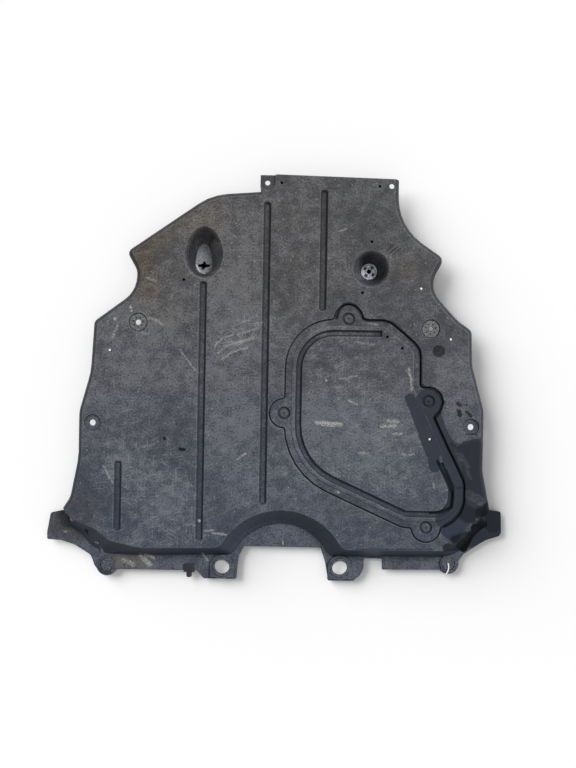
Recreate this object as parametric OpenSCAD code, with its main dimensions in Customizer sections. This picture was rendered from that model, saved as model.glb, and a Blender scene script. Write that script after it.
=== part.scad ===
// Engine splash shield: a formed plastic undertray with a screwed access cover.
// Millimetres. +Z is the face that looks at the road when the shield is fitted.
// +Y points to the narrow end. The origin is the centre of the footprint, on the floor.

/* [Overall] */
// Width across the two wings
overall_w = 925; // [910:1:1000]
// Length from the narrow edge to the ends of the two rear tabs
overall_l = 818; // [806:1:900]
// Height of the road face above the floor
overall_h = 44; // [40:1:60]
// Thickness of the moulded wall
wall = 3; // [2:0.1:4]

/* [Side rim] */
// Drop of the side rim below the road face
rim_drop = 12; // [8:0.5:18]
// Outward flare of the side rim
rim_flare = 9; // [6:0.5:12]
// Height of the rounded shoulder at the top of the rim
rim_shoulder = 4; // [2:0.5:6]

/* [Rear step] */
// Height of the rear flange's underside above the floor
flange_z = 10; // [8:0.5:14]
// Distance of the flange's rear edge from the ends of the tabs
flange_back = 16; // [12:1:22]
// Radius of the arch at the road face
arch_r = 137.5; // [128:0.5:142]
// Radius of the arch at the foot of its wall
arch_foot_r = 105; // [98:0.5:110]
// Place of the arch's centre across the shield
arch_x = 14.5; // [5:0.5:25]
// Distance of the lip's free edge from the ends of the tabs
lip_back = 67; // [64:1:74]

/* [Stiffening beads] */
// Width of a bead at the road face
bead_w = 16; // [12:0.5:18]
// Width of a bead at its floor
bead_floor_w = 7; // [5:0.5:10]
// Depth of a bead
bead_d = 5; // [3:0.5:8]

/* [Fixing cups] */
// Radius of the round cup at the road face
cup_r = 37; // [32:0.5:42]
// Radius of the round cup's floor
cup_floor_r = 16.5; // [15:0.5:20]
// Half width of the long cup at the road face
long_cup_w = 39; // [34:0.5:44]
// Half width of the long cup's floor
long_cup_floor_w = 17; // [14:0.5:20]
// Height of the rounded lip of a cup
cup_lip = 3; // [1:0.5:5]
// Radius of the round cup's bore
cup_bore_r = 4.5; // [3:0.25:6]

/* [Access cover] */
// Gap between the cover and the panel
cover_gap = 3; // [1.5:0.25:4]
// Radius of a fixing ear
ear_r = 27.5; // [25:0.5:30]
// Width of the panel's ledge under the cover
ledge_w = 11; // [9:0.5:12]
// Drop of the cover's rim below its middle
rim_step = 1.2; // [0.6:0.1:1.5]
// Width of the cover's lowered rim
rim_step_w = 12.5; // [11.5:0.5:14]
// Distance of the cover's groove from its edge
groove_inset = 26; // [25:0.5:29]
// Width of the cover's groove at the top
groove_w = 14; // [12:0.5:15]
// Width of the cover's groove at its floor
groove_floor_w = 6; // [4:0.5:8]
// Depth of the cover's groove
groove_d = 5; // [3:0.5:6]

/* [Cover screws] */
// Radius of the dish that holds a screw head, at the rim face
dish_r = 13.5; // [12.5:0.5:14.5]
// Radius of the screw head
screw_head_r = 8.5; // [7:0.25:10]
// Height of the screw head
screw_head_h = 2.6; // [2:0.1:4]
// Radius of the screw's shank
screw_r = 3; // [2.5:0.1:3.5]
// Length of the screw below its head
screw_l = 17; // [14:0.5:20]
// Clearance round the shank
screw_clear = 0.5; // [0.3:0.1:1]
// Radius of the retainer that holds the shank
retainer_r = 9.5; // [8:0.5:11]

/* [Fixing holes] */
// Radius of the two holes at the narrow edge
front_hole_r = 5; // [3:0.25:6]
// Radius of the two holes in the side dishes
side_hole_r = 6; // [4:0.25:7]
// Radius of a side dish at the road face
side_dish_r = 17; // [14:0.5:18]
// Depth of a side dish
side_dish_d = 3; // [2:0.5:5]
// Radius of the seats of the two seat washers
seat_r = 19; // [17:0.5:21]
// Radius of the bore of a seat washer
washer_bore_r = 5.5; // [4:0.25:7]
// Radius of the two large holes in the tabs
tab_hole_r = 15; // [12:0.5:17]
// Width of the collar round a large hole
collar_w = 4.5; // [3:0.5:6]
// Height of the raised pad round a large hole
pad_h = 4; // [2:0.5:6]

/* [Push rivets] */
// Radius of the recess for a rivet head
rivet_seat_r = 14; // [12:0.5:15]
// Radius of a rivet's shank
rivet_r = 4.5; // [3:0.25:6]
// Length of a rivet below its head
rivet_l = 9; // [6:0.5:10]

/* [Hidden] */
$fn = 48;

panel_grey = "#3b3d40";
cover_grey = "#44464a";
steel_grey = "#a9acb4";
clip_black = "#1b1c1e";
tie_white = "#e8e6df";

half_w = overall_w / 2;
half_l = overall_l / 2;
road_z = overall_h;
flange_top = flange_z + wall;
through = 2;
fit = 0.3;

// Corners are [x, y, fillet radius]. Each side's corners hang on its own wing tip and end edge.
function left(x) = x - half_w;
function right(x) = half_w - x;
function front(y) = half_l - y;
function rear(y) = y - half_l;

// Foot of the rim on the left, from the wing up to the front tab
left_side = [
    [left(37), rear(142), 0], [left(51), rear(164), 40], [left(66), rear(244), 120],
    [left(66), rear(337), 70], [left(88), rear(417), 150], [left(93.5), front(299), 14],
    [left(178), front(236), 60], [left(178), front(195), 30], [left(157), front(158), 12],
    [left(325.5), front(40.5), 120], [left(424), front(33), 0]];
// Foot of the rim on the right, from the narrow edge down to the wing
right_side = [
    [right(223), front(5.5), 0], [right(222.5), front(98.5), 110], [right(129), front(162), 15],
    [right(161), front(220), 48], [right(100.5), front(285.5), 60], [right(71.5), front(306), 14],
    [right(69.5), front(376), 80], [right(44.5), rear(351), 60], [right(45), rear(231), 50],
    [right(29.5), rear(152), 0]];
// Narrow edge: the small tab on its left, then the long straight edge
tab_w = 30;
tab_side = left(423.5);
tab_end = front(1.6);
front_edge = [
    [tab_side, tab_end, 2], [tab_side + tab_w, tab_end, 0], [tab_side + tab_w + 2, front(0), 2]];

// Corners of the rear wall from right to left, one at the foot for each one at the road face
rear_crease_right = [
    [right(40), rear(128), 10], [right(60.5), rear(110), 60], [right(86.5), rear(96), 60],
    [right(117.5), rear(70.5), 30]];
rear_foot_right = [
    [right(36), rear(114), 10], [right(55), rear(102), 14], [right(78.5), rear(68), 20],
    [right(109.5), rear(52.5), 20]];
rear_crease_left = [
    [left(196), rear(66), 60], [left(133), rear(80), 50], [left(106.5), rear(102), 40],
    [left(77.5), rear(114), 30], [left(58), rear(121), 10]];
rear_foot_left = [
    [left(188), rear(45), 60], [left(117), rear(48), 40], [left(91), rear(64), 30],
    [left(67.5), rear(89), 16], [left(44), rear(104), 10]];
rim_end_right = [right(31), rear(147.5)];
rim_end_left = [left(38.5), rear(135)];
crease_y = rear(69);
foot_y = rear(49.5);
arch_centre = [arch_x, rear(9)];
arch_fillet = 20;

// Places on the panel
long_cup_x = left(312.5);
bead_lines = [[long_cup_x, rear(90), front(224)], [-24, arch_centre[1] + arch_r + 17.5, front(63)],
              [89.5, front(264), front(37)], [left(148), rear(107), rear(232)]];
cup_at = [right(277.5), front(186)];
long_cup_at = [long_cup_x, front(166)];
long_cup_floor_at = [long_cup_x - 3.5, front(179)];
long_cup_up = 60;
long_cup_down = 45;
long_floor_up = 45;
seats = [[left(183.5), front(300.5)], [right(156), front(304)]];
side_holes = [[left(95.5), front(503)], [right(72), front(499)]];
front_holes = [[tab_side + tab_w / 2 - 0.5, front(17)], [right(238.5), front(20)]];
tab_holes = [[-105, rear(25)], [134.5, rear(27)]];
rivets = [[left(123), rear(24.5)], [right(107.5), rear(39.5)]];
rivet_pad_r = 22;
peg_at = [-172, rear(flange_back)];
pin_marks = [[3.6, front(17)], [right(262.5), front(20.5)], [long_cup_x - 39, front(214)],
             [cup_at[0] + 1, front(131.5)], [cup_at[0] - 16.4, front(234)]];
drain_holes = [[right(176), front(223.5)], [right(115), front(324)], [left(127.5), front(357)],
               [left(162.5), rear(21)]];
mark_r = 2.3;
mark_depth = wall * 0.7;
cover_marks = [[right(242.5), rear(496.5)], [right(212), rear(474.5)]];
cover_drain = [right(154), rear(293.5)];

// Cover: its left edge hangs on the middle of the shield and its right edge on the right wing
cover_body = [
    [19, rear(528.5), 96], [right(243), rear(528.5), 30], [right(176.5), rear(475.8), 35],
    [right(176.5), rear(399.5), 20], [right(84), rear(203.5), 20], [right(84), rear(117), 58],
    [right(205.5), rear(117), 40], [18, rear(225), 145]];
ears = [[142, rear(531)], [right(158), rear(368.5)], [right(159), rear(116)], [15.5, rear(340.5)]];
groove_start_x = right(252.5);
groove_end_y = rear(246);

// Wall thickness measured level across a drafted side
side_wall = wall * 0.8;

// Recesses and pads round the fixings
seat_d = 2.5;
front_step = 2;
front_step_r = 15;
pad_margin = 5;
rivet_seat_h = 3;

// Screws and their retainers
socket_r = 2.6;
socket_d = 1.8;
screw_tip = 1;
retainer_t = 1.5;
retainer_h = 5;
retainer_fit = 0.1;

// Washers: hole count, radius of the hole ring, hole radius and first angle
seat_washer_ring = [7, 9.7, 1.6, 12];
seat_washer_t = 1.8;
cup_washer_ring = [4, 10.3, 2, 52];
cup_washer_t = 1.5;

// Push rivets and the pin
rivet_head_r = rivet_seat_r - 0.8;
rivet_head_h = 1.6;
rivet_crown_h = 0.9;
rivet_well_r = rivet_seat_r - 4;
rivet_bore_r = 2.3;
pin_head_r = 4.5;

// Edge clip
clip_w = 21;
clip_reach = 13.5;
clip_jaw = 3;
clip_short = 4;
peg_r = 5.5;
peg_l = 13.5;

// Cable tie end, bent to an arc
strip_r = 21;
strip_w = 2.4;
strip_t = 0.9;
strip_first = -42;
strip_sweep = 62;
strip_stub_r = 1.1;

// Levels of the cover and its seat
cover_rim_z = road_z - rim_step;
ledge_z = cover_rim_z - wall;
dish_seat_z = ledge_z - wall;
cover_fillet = 8;
dish_flare = 2.5;

// Plain vectors
function xy(p) = [p[0], p[1]];
function unit(v) = v / norm(v);
function left_of(v) = [-v[1], v[0]];
function turn_of(a, b) = atan2(a[0] * b[1] - a[1] * b[0], a * b);

// Points of the arc that rounds the corner p between its neighbours a and b.
// With no step count an arc gets one step for each 11 degrees of turn.
function corner_arc(a, p, b, steps) =
    let (d1 = unit(xy(p) - xy(a)), d2 = unit(xy(b) - xy(p)),
         turn = turn_of(d1, d2), side = turn > 0 ? 1 : -1,
         start = xy(p) - d1 * p[2] * tan(abs(turn) / 2),
         centre = start + side * left_of(d1) * p[2],
         first = atan2(d1[1], d1[0]) - side * 90,
         count = steps > 0 ? steps : ceil(abs(turn) / 11))
    p[2] == 0 ? [xy(p)] :
    [for (i = [0:count]) centre + p[2] * [cos(first + turn * i / count), sin(first + turn * i / count)]];

// A path or outline with its corners rounded
function rounded(corners, closed = false, steps = 0) =
    let (n = len(corners))
    [for (i = [0:n - 1])
        each (!closed && (i == 0 || i == n - 1)) ? [xy(corners[i])] :
        corner_arc(corners[(i + n - 1) % n], corners[i], corners[(i + 1) % n], steps)];

// Mitred step to the left of a path at its point i
function side_step(path, i, closed) =
    let (n = len(path),
         d1 = unit(closed || i > 0 ? path[i] - path[(i + n - 1) % n] : path[1] - path[0]),
         d2 = unit(closed || i < n - 1 ? path[(i + 1) % n] - path[i] : path[i] - path[i - 1]),
         m = unit(left_of(d1) + left_of(d2)))
    m / (m * left_of(d1));
function shifted(path, d, closed = false) =
    [for (i = [0:len(path) - 1]) path[i] + d * side_step(path, i, closed)];

// Corners of an outline moved inward by d, with the fillets kept concentric
function inset(corners, d, least) =
    let (n = len(corners), moved = shifted([for (c = corners) xy(c)], -d, true))
    [for (i = [0:n - 1]) [moved[i][0], moved[i][1], max(corners[i][2] - d, least)]];

// Solid between rings of points. Each ring lists one side of a strip and then the other,
// and the end faces are closed by quads across the strip.
module skin(rings) {
    m = len(rings[0]);
    last = len(rings) - 1;
    ends = [for (j = [0:m / 2 - 2]) [j, j + 1, m - 2 - j, m - 1 - j]];
    polyhedron(
        points = [for (ring = rings) each ring],
        faces = concat(
            [for (q = ends) each [[q[2], q[1], q[0]], [q[3], q[2], q[0]]]],
            [for (q = ends) each [[last * m + q[0], last * m + q[1], last * m + q[2]],
                                  [last * m + q[0], last * m + q[2], last * m + q[3]]]],
            [for (i = [0:last - 1]) for (j = [0:m - 1])
                let (k = (j + 1) % m, a = i * m + j, b = i * m + k, c = a + m, d = b + m)
                each [[d, c, a], [b, d, a]]]));
}

// Section [u, z] points carried along a path, u to the left of it
function section_ring(path, i, section, closed = false) =
    [for (q = section) let (p = path[i] + q[0] * side_step(path, i, closed)) [p[0], p[1], q[1]]];
module swept(path, section) {
    skin([for (i = [0:len(path) - 1]) section_ring(path, i, section)]);
}

// Solid between closed convex outlines, one above the other, listed from the bottom up
module stacked(outlines, levels) {
    n = len(outlines[0]);
    last = len(outlines) - 1;
    polyhedron(
        points = [for (i = [0:last]) for (p = outlines[i]) [p[0], p[1], levels[i]]],
        faces = concat(
            [[for (j = [0:n - 1]) j]],
            [[for (j = [n - 1:-1:0]) last * n + j]],
            [for (i = [0:last - 1]) for (j = [0:n - 1])
                let (k = (j + 1) % n, a = i * n + j, b = i * n + k, c = a + n, d = b + n)
                each [[a, c, d], [a, d, b]]]));
}

// Egg of half width w with one length up and another down
function egg(at, w, up, down, n = 36) =
    [for (i = [0:n - 1]) let (a = 360 * i / n)
        at + [w * cos(a), (a < 180 ? up : down) * sin(a)]];

// Bead outline: a long box with small round corners
function bead_outline(line, w, r) =
    rounded([[line[0] - w / 2, line[1] - w / 2, r], [line[0] + w / 2, line[1] - w / 2, r],
             [line[0] + w / 2, line[2] + w / 2, r], [line[0] - w / 2, line[2] + w / 2, r]], true, 3);

// Crease and foot of the rear wall, with the same number of points in each
function arch_path(y, r) =
    let (reach = sqrt(pow(r + arch_fillet, 2) - pow(y + arch_fillet - arch_centre[1], 2)),
         lean = atan2(y + arch_fillet - arch_centre[1], reach))
    concat(
        [for (i = [0:4]) let (a = -90 - (90 - lean) * i / 4)
            [arch_centre[0] + reach, y + arch_fillet] + arch_fillet * [cos(a), sin(a)]],
        [for (i = [1:17]) let (a = lean + (180 - 2 * lean) * i / 18)
            arch_centre + r * [cos(a), sin(a)]],
        [for (i = [0:4]) let (a = -lean - (90 - lean) * i / 4)
            [arch_centre[0] - reach, y + arch_fillet] + arch_fillet * [cos(a), sin(a)]]);
function rear_path(start, tip, right_corners, y, r, left_corners, end_tip, end) =
    let (arch = arch_path(y, r))
    concat(
        [start], rounded(concat([tip], right_corners, [arch[0]]), steps = 4),
        [for (i = [1:len(arch) - 2]) arch[i]],
        rounded(concat([arch[len(arch) - 1]], left_corners, [end_tip]), steps = 4), [end]);

left_rim = rounded(left_side);
right_rim = rounded(right_side);
left_shoulder = shifted(left_rim, -rim_flare);
right_shoulder = shifted(right_rim, -rim_flare);
right_end = right_shoulder[len(right_shoulder) - 1];
left_end = left_shoulder[0];
front_ends = rounded(concat([left_shoulder[len(left_shoulder) - 1]], front_edge, [right_shoulder[0]]));
front_path = [for (i = [1:len(front_ends) - 2]) front_ends[i]];
crease = rear_path(right_end, right_end - [0.3, 3], rear_crease_right, crease_y, arch_r,
                   rear_crease_left, left_end - [-0.3, 3], left_end);
foot = rear_path(right_rim[len(right_rim) - 1], rim_end_right, rear_foot_right, foot_y, arch_foot_r,
                 rear_foot_left, rim_end_left, left_rim[0]);

// Rim section: a rounded shoulder and then the drafted skirt, measured from the foot outward
rim_section = [
    [-rim_flare, road_z], [-rim_flare * 0.45, road_z - rim_shoulder], [0, road_z - rim_drop],
    [-wall, road_z - rim_drop], [-rim_flare * 0.45 - side_wall, road_z - rim_shoulder - wall / 2],
    [-rim_flare, road_z - wall]];

module road_plate() {
    translate([0, 0, road_z - wall])
        linear_extrude(wall)
            polygon(concat(left_shoulder, front_path, right_shoulder,
                           [for (i = [1:len(crease) - 2]) crease[i]]));
}

// Sloped wall from the crease down to the flange. Its first and last rings meet the side rims.
module rear_wall() {
    last = len(crease) - 1;
    skin([for (i = [0:last])
        let (c = crease[i], f = foot[i], at_rim = i == 0 || i == last,
             top = at_rim ? road_z - rim_drop + wall / 2 : flange_top,
             ci = c - wall / 2 * side_step(crease, i, false),
             fi = f - wall / 2 * side_step(foot, i, false))
        [[f[0], f[1], top], [f[0], f[1], top - wall], [fi[0], fi[1], top - wall],
         [ci[0], ci[1], road_z - wall], [c[0], c[1], road_z - wall], [c[0], c[1], road_z]]]);
}

// Outline of the two wings, the flange, the lip and the tabs at the foot of the rear wall
flange_outer = [
    [left(30), rear(134), 0], [left(6.5), rear(128.5), 5], [left(0), rear(90), 8], [left(0), rear(74.5), 4],
    [left(30), rear(73), 30], [left(57), rear(64), 30],
    [left(90), rear(44), 20], [left(97), rear(24), 14],
    [left(108), rear(8), 8], [left(148), rear(flange_back), 8], [-156.5, rear(flange_back), 4],
    [-142, rear(0), 2],
    [-75.5, rear(0), 3], [-72, rear(45), 30], [-61, rear(lip_back), 2],
    [95, rear(lip_back), 4], [105, rear(37), 40], [111.5, rear(0), 2], [163, rear(0), 3],
    [176, rear(11.5), 3], [183.5, rear(26), 8], [183.5, rear(46.5), 3], [220.5, rear(46.5), 3],
    [221, rear(24), 2], [right(120), rear(26), 6],
    [right(86), rear(44), 8], [right(76.5), rear(58), 10], [right(44), rear(80), 30],
    [right(29), rear(88.5), 20], [right(4), rear(96.5), 3], [right(0), rear(103), 5],
    [right(1.5), rear(146.5), 5], [right(24), rear(149), 0]];

module flange() {
    translate([0, 0, flange_z])
        linear_extrude(wall) {
            polygon(concat(rounded(flange_outer), [for (i = [1:len(foot) - 2]) foot[i]]));
            for (r = rivets) translate(r) circle(r = rivet_pad_r);
        }
}

// Turned-down edges that the shield stands on: the lip and the ends of the two tabs
module feet() {
    for (edge = [[[-60, rear(lip_back)], [85, rear(lip_back)]],
                 [[-140, rear(0)], [-78, rear(0)]], [[113, rear(0)], [161, rear(0)]]])
        translate([edge[0][0], edge[0][1], 0])
            cube([edge[1][0] - edge[0][0], wall, flange_z + wall / 2]);
}

// D-shaped pad with a collar round a large hole
module tab_pad(at) {
    back = rear(0) + wall;
    r = tab_hole_r + collar_w + pad_margin;
    translate([at[0], at[1], flange_z]) {
        linear_extrude(wall + pad_h) {
            circle(r = r);
            translate([-r, back - at[1]]) square([2 * r, at[1] - back]);
        }
        cylinder(r = tab_hole_r + collar_w, h = wall + pad_h + wall / 2);
    }
}

module rivet_pad(at) {
    translate([at[0], at[1], flange_z]) cylinder(r = rivet_seat_r + 2.5, h = wall + rivet_seat_h);
}

module round_cup_body() {
    slope = (cup_r - cup_floor_r) / (road_z - wall);
    out = wall * 0.9;
    translate([cup_at[0], cup_at[1], 0])
        cylinder(r1 = cup_floor_r + out, r2 = cup_r + out - slope * wall / 2, h = road_z - wall / 2);
}
module round_cup_hollow() {
    translate([cup_at[0], cup_at[1], 0]) rotate_extrude($fn = 64)
        polygon([[0, wall], [cup_floor_r, wall], [cup_r - cup_lip, road_z - cup_lip],
                 [cup_r, road_z], [cup_r, road_z + through], [0, road_z + through]]);
}
module long_cup_body() {
    w = wall * 0.95;
    stacked([egg(long_cup_floor_at, long_cup_floor_w + w, long_floor_up + w, long_cup_floor_w + w),
             egg(long_cup_at, long_cup_w + w - 1, long_cup_up + w - 1, long_cup_down + w - 1)],
            [0, road_z - wall / 2]);
}
module long_cup_hollow() {
    l = cup_lip;
    stacked([egg(long_cup_floor_at, long_cup_floor_w, long_floor_up, long_cup_floor_w),
             egg(long_cup_at, long_cup_w - l, long_cup_up - l, long_cup_down - l),
             egg(long_cup_at, long_cup_w, long_cup_up, long_cup_down),
             egg(long_cup_at, long_cup_w, long_cup_up, long_cup_down)],
            [wall, road_z - l, road_z, road_z + through]);
}

// Worn-through fixing slot in the long cup's floor: a bolt hole with its edges torn out
module torn_slot() {
    translate([long_cup_floor_at[0], long_cup_floor_at[1], -through])
        linear_extrude(wall + 2 * through) {
            circle(r = cup_bore_r);
            polygon([[-13, -2.5], [-4, -3.5], [-1, -8], [1.5, -5], [5, -3.5], [13, -1.5], [11, 2], [5, 2.5],
                     [1.5, 8], [-0.5, 9], [-3, 3.5], [-12, 1.5]]);
        }
}

module bead_body(line) {
    w = 2 * side_wall;
    stacked([bead_outline(line, bead_floor_w + w - 2, 3), bead_outline(line, bead_floor_w + w, 4),
             bead_outline(line, bead_w + w, 5)],
            [road_z - bead_d - wall, road_z - bead_d - wall + 1, road_z - wall / 2]);
}
module bead_hollow(line) {
    top = bead_outline(line, bead_w, 4);
    stacked([bead_outline(line, bead_floor_w, 2), top, top], [road_z - bead_d, road_z, road_z + through]);
}

// Outline of the access cover with its four ears
module cover_outline(grow) {
    offset(delta = grow, $fn = 48)
        offset(r = -cover_fillet, $fn = 64) offset(delta = cover_fillet) {
            polygon(rounded(cover_body, true));
            for (e = ears) translate(e) circle(r = ear_r, $fn = 48);
        }
}
module cover_inset(d) {
    polygon(rounded(inset(cover_body, d, 6), true));
}

// Recess that the cover drops into, with a ledge all round
module cover_seat_body() {
    translate([0, 0, ledge_z - wall])
        linear_extrude(road_z - ledge_z + wall) cover_outline(cover_gap + wall);
}
module cover_seat_hollow() {
    translate([0, 0, ledge_z]) linear_extrude(road_z - ledge_z + through) cover_outline(cover_gap);
    translate([0, 0, ledge_z - wall - through])
        linear_extrude(wall + 2 * through) cover_inset(ledge_w);
}
module dish_seats_body() {
    for (e = ears) translate([e[0], e[1], dish_seat_z - wall])
        cylinder(r = dish_r + wall + fit + side_wall, h = ledge_z - dish_seat_z + wall);
}
module dish_seats_hollow() {
    for (e = ears) translate([e[0], e[1], dish_seat_z]) {
        cylinder(r = dish_r + wall + fit, h = ledge_z - dish_seat_z + through);
        translate([0, 0, -wall - through]) cylinder(r = screw_r + screw_clear, h = wall + 2 * through);
    }
}

// Shallow round recess with its own floor, for a washer or a bolt head
module recess_body(at, r, d) {
    translate([at[0], at[1], road_z - d - wall]) cylinder(r = r + side_wall, h = d + wall / 2);
}
module recess_hollow(at, r, d, bore) {
    translate([at[0], at[1], road_z - d]) cylinder(r1 = r - d * 0.7, r2 = r, h = d + 0.01);
    translate([at[0], at[1], road_z - 0.005]) cylinder(r = r, h = through);
    translate([at[0], at[1], road_z - d - wall - through]) cylinder(r = bore, h = d + wall + 2 * through);
}

// Lowered corner of the small tab: round below its hole, square up to the tab's two free edges
module tab_step(grow, reach) {
    at = front_holes[0];
    intersection() {
        union() {
            translate(at) circle(r = front_step_r + grow);
            translate([at[0] - 2 * front_step_r, at[1]]) square([3 * front_step_r + grow, 2 * front_step_r]);
        }
        translate([tab_side - reach, tab_end - 4 * front_step_r])
            square([4 * front_step_r, 4 * front_step_r + reach]);
    }
}
module tab_step_body() {
    translate([0, 0, road_z - front_step - wall])
        linear_extrude(front_step + wall / 2) tab_step(side_wall, 0);
}
module tab_step_hollow() {
    translate([0, 0, road_z - front_step]) linear_extrude(front_step + through) tab_step(0, through);
    translate([front_holes[0][0], front_holes[0][1], road_z - front_step - wall - through])
        cylinder(r = front_hole_r, h = wall + 2 * through);
}

module shield_panel() {
    color(panel_grey)
        difference() {
            union() {
                difference() {
                    union() {
                        road_plate();
                        swept(left_rim, rim_section);
                        swept(right_rim, rim_section);
                        rear_wall();
                        flange();
                        feet();
                        for (t = tab_holes) tab_pad(t);
                        for (r = rivets) rivet_pad(r);
                        cover_seat_body();
                        round_cup_body();
                        long_cup_body();
                        for (b = bead_lines) bead_body(b);
                        for (s = seats) recess_body(s, seat_r, seat_d);
                        for (s = side_holes) recess_body(s, side_dish_r, side_dish_d);
                        tab_step_body();
                    }
                    cover_seat_hollow();
                }
                dish_seats_body();
            }
            dish_seats_hollow();
            round_cup_hollow();
            long_cup_hollow();
            for (b = bead_lines) bead_hollow(b);
            for (s = seats) recess_hollow(s, seat_r, seat_d, washer_bore_r);
            for (s = side_holes) recess_hollow(s, side_dish_r, side_dish_d, side_hole_r);
            tab_step_hollow();
            translate([front_holes[1][0], front_holes[1][1], road_z - wall - through])
                cylinder(r = front_hole_r, h = wall + 2 * through);
            translate([cup_at[0], cup_at[1], -through]) cylinder(r = cup_bore_r, h = wall + 2 * through);
            torn_slot();
            for (t = tab_holes) translate([t[0], t[1], -through]) cylinder(r = tab_hole_r, h = road_z);
            for (r = rivets) translate([r[0], r[1], flange_top]) {
                cylinder(r = rivet_seat_r, h = road_z);
                translate([0, 0, -wall - through]) cylinder(r = rivet_r, h = wall + 2 * through);
            }
            for (m = pin_marks) translate([m[0], m[1], road_z - mark_depth]) cylinder(r = mark_r, h = wall);
            for (d = drain_holes) translate([d[0], d[1], 0]) cylinder(r = mark_r, h = road_z + through);
        }
}

// The cover's stiffening groove runs inside its edge and leaves the upper right side free
groove_corners = inset(cover_body, groove_inset, 8);
groove_side = groove_corners[3] - groove_corners[4];
groove_slope = groove_side[0] / groove_side[1];
function groove_path(extra) = rounded([
    [groove_start_x + extra, groove_corners[0][1], 0], groove_corners[0], groove_corners[7],
    groove_corners[6], groove_corners[5], groove_corners[4],
    [groove_corners[4][0] + groove_slope * (groove_end_y + extra - groove_corners[4][1]),
     groove_end_y + extra, 0]]);

// Section of a groove from its widths and levels, listed from the top down
function strip_section(rows) =
    concat([for (r = rows) [r[0] / 2, r[1]]],
           [for (i = [len(rows) - 1:-1:0]) [-rows[i][0] / 2, rows[i][1]]]);

module cover_groove_hollow() {
    swept(groove_path(0), strip_section([
        [groove_w, road_z + through], [groove_w, road_z], [groove_floor_w, road_z - groove_d]]));
}
module cover_groove_body() {
    grow = 2 * side_wall;
    swept(groove_path(wall), strip_section([
        [groove_w + grow, road_z - wall / 2], [groove_floor_w + grow, road_z - groove_d],
        [groove_floor_w + grow - 3, road_z - groove_d - wall]]));
}

module access_cover() {
    color(cover_grey)
        difference() {
            union() {
                difference() {
                    union() {
                        translate([0, 0, ledge_z]) linear_extrude(wall) cover_outline(0);
                        translate([0, 0, road_z - wall]) linear_extrude(wall) cover_inset(rim_step_w);
                    }
                    translate([0, 0, ledge_z - through])
                        linear_extrude(through + road_z - wall - ledge_z) cover_inset(rim_step_w + wall);
                }
                for (e = ears) translate([e[0], e[1], dish_seat_z])
                    cylinder(r = dish_r + wall, h = wall * 1.5);
                cover_groove_body();
            }
            cover_groove_hollow();
            for (e = ears) translate([e[0], e[1], ledge_z]) {
                cylinder(r1 = dish_r - dish_flare, r2 = dish_r, h = wall);
                translate([0, 0, wall - 0.005]) cylinder(r = dish_r, h = through);
                translate([0, 0, -2 * wall]) cylinder(r = screw_r + screw_clear, h = 3 * wall);
            }
            for (m = cover_marks) translate([m[0], m[1], road_z - mark_depth]) cylinder(r = mark_r, h = wall);
            translate([cover_drain[0], cover_drain[1], 0]) cylinder(r = mark_r, h = road_z + through);
        }
}

// Pan-head screws with a hexagon socket
module cover_screws() {
    rim_h = screw_head_h * 0.6;
    color(clip_black)
        for (e = ears) translate([e[0], e[1], ledge_z])
            difference() {
                union() {
                    cylinder(r = screw_head_r, h = rim_h);
                    translate([0, 0, rim_h])
                        cylinder(r1 = screw_head_r, r2 = screw_head_r - 2, h = screw_head_h - rim_h);
                    translate([0, 0, screw_tip - screw_l]) cylinder(r = screw_r, h = screw_l);
                    translate([0, 0, -screw_l])
                        cylinder(r1 = screw_r - screw_tip, r2 = screw_r, h = screw_tip);
                }
                translate([0, 0, screw_head_h - socket_d]) cylinder(r = socket_r, h = socket_d + 1, $fn = 6);
            }
}

// Push-on retainers that hold the screws behind the panel
module screw_retainers() {
    bore = screw_r + retainer_fit;
    color(steel_grey)
        for (e = ears) translate([e[0], e[1], dish_seat_z - wall])
            difference() {
                union() {
                    translate([0, 0, -retainer_t]) cylinder(r = retainer_r, h = retainer_t);
                    translate([0, 0, -retainer_h])
                        cylinder(r1 = bore + retainer_t, r2 = bore + 1.5 * retainer_t,
                                 h = retainer_h - retainer_t / 2);
                }
                translate([0, 0, -retainer_h - 1]) cylinder(r = bore, h = retainer_h + 2);
            }
}

// Washer with a ring of small holes, given as [count, ring radius, hole radius, first angle]
module holed_washer(r, bore, t, ring) {
    difference() {
        cylinder(r = r, h = t);
        translate([0, 0, -1]) cylinder(r = bore, h = t + 2);
        for (i = [0:ring[0] - 1]) rotate(ring[3] + 360 * i / ring[0])
            translate([ring[1], 0, -1]) cylinder(r = ring[2], h = t + 2, $fn = 24);
    }
}
module seat_washers() {
    color(panel_grey)
        for (s = seats) translate([s[0], s[1], road_z - seat_d])
            holed_washer(seat_r - 0.7 * seat_d - fit, washer_bore_r, seat_washer_t, seat_washer_ring);
}
module cup_washer() {
    color(steel_grey)
        translate([cup_at[0], cup_at[1], wall])
            holed_washer(cup_floor_r - fit, cup_bore_r + 0.2, cup_washer_t, cup_washer_ring);
}

// Expanding push rivets in the two corner bosses
module push_rivets() {
    shank = rivet_r - 0.2;
    well = rivet_head_h - 0.2;
    color(clip_black)
        for (r = rivets) translate([r[0], r[1], flange_top])
            difference() {
                union() {
                    cylinder(r = rivet_head_r, h = rivet_head_h);
                    translate([0, 0, rivet_head_h])
                        cylinder(r1 = rivet_head_r, r2 = rivet_head_r - 1.2, h = rivet_crown_h);
                    translate([0, 0, -rivet_l]) cylinder(r = shank, h = rivet_l + 0.5);
                    translate([0, 0, -rivet_l])
                        cylinder(r1 = shank - 0.5, r2 = shank + 1.2, h = rivet_l - wall - fit);
                }
                translate([0, 0, well]) cylinder(r = rivet_well_r, h = rivet_head_h);
                translate([0, 0, -rivet_l - 1]) cylinder(r = rivet_bore_r, h = rivet_l + 4);
            }
}

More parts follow.
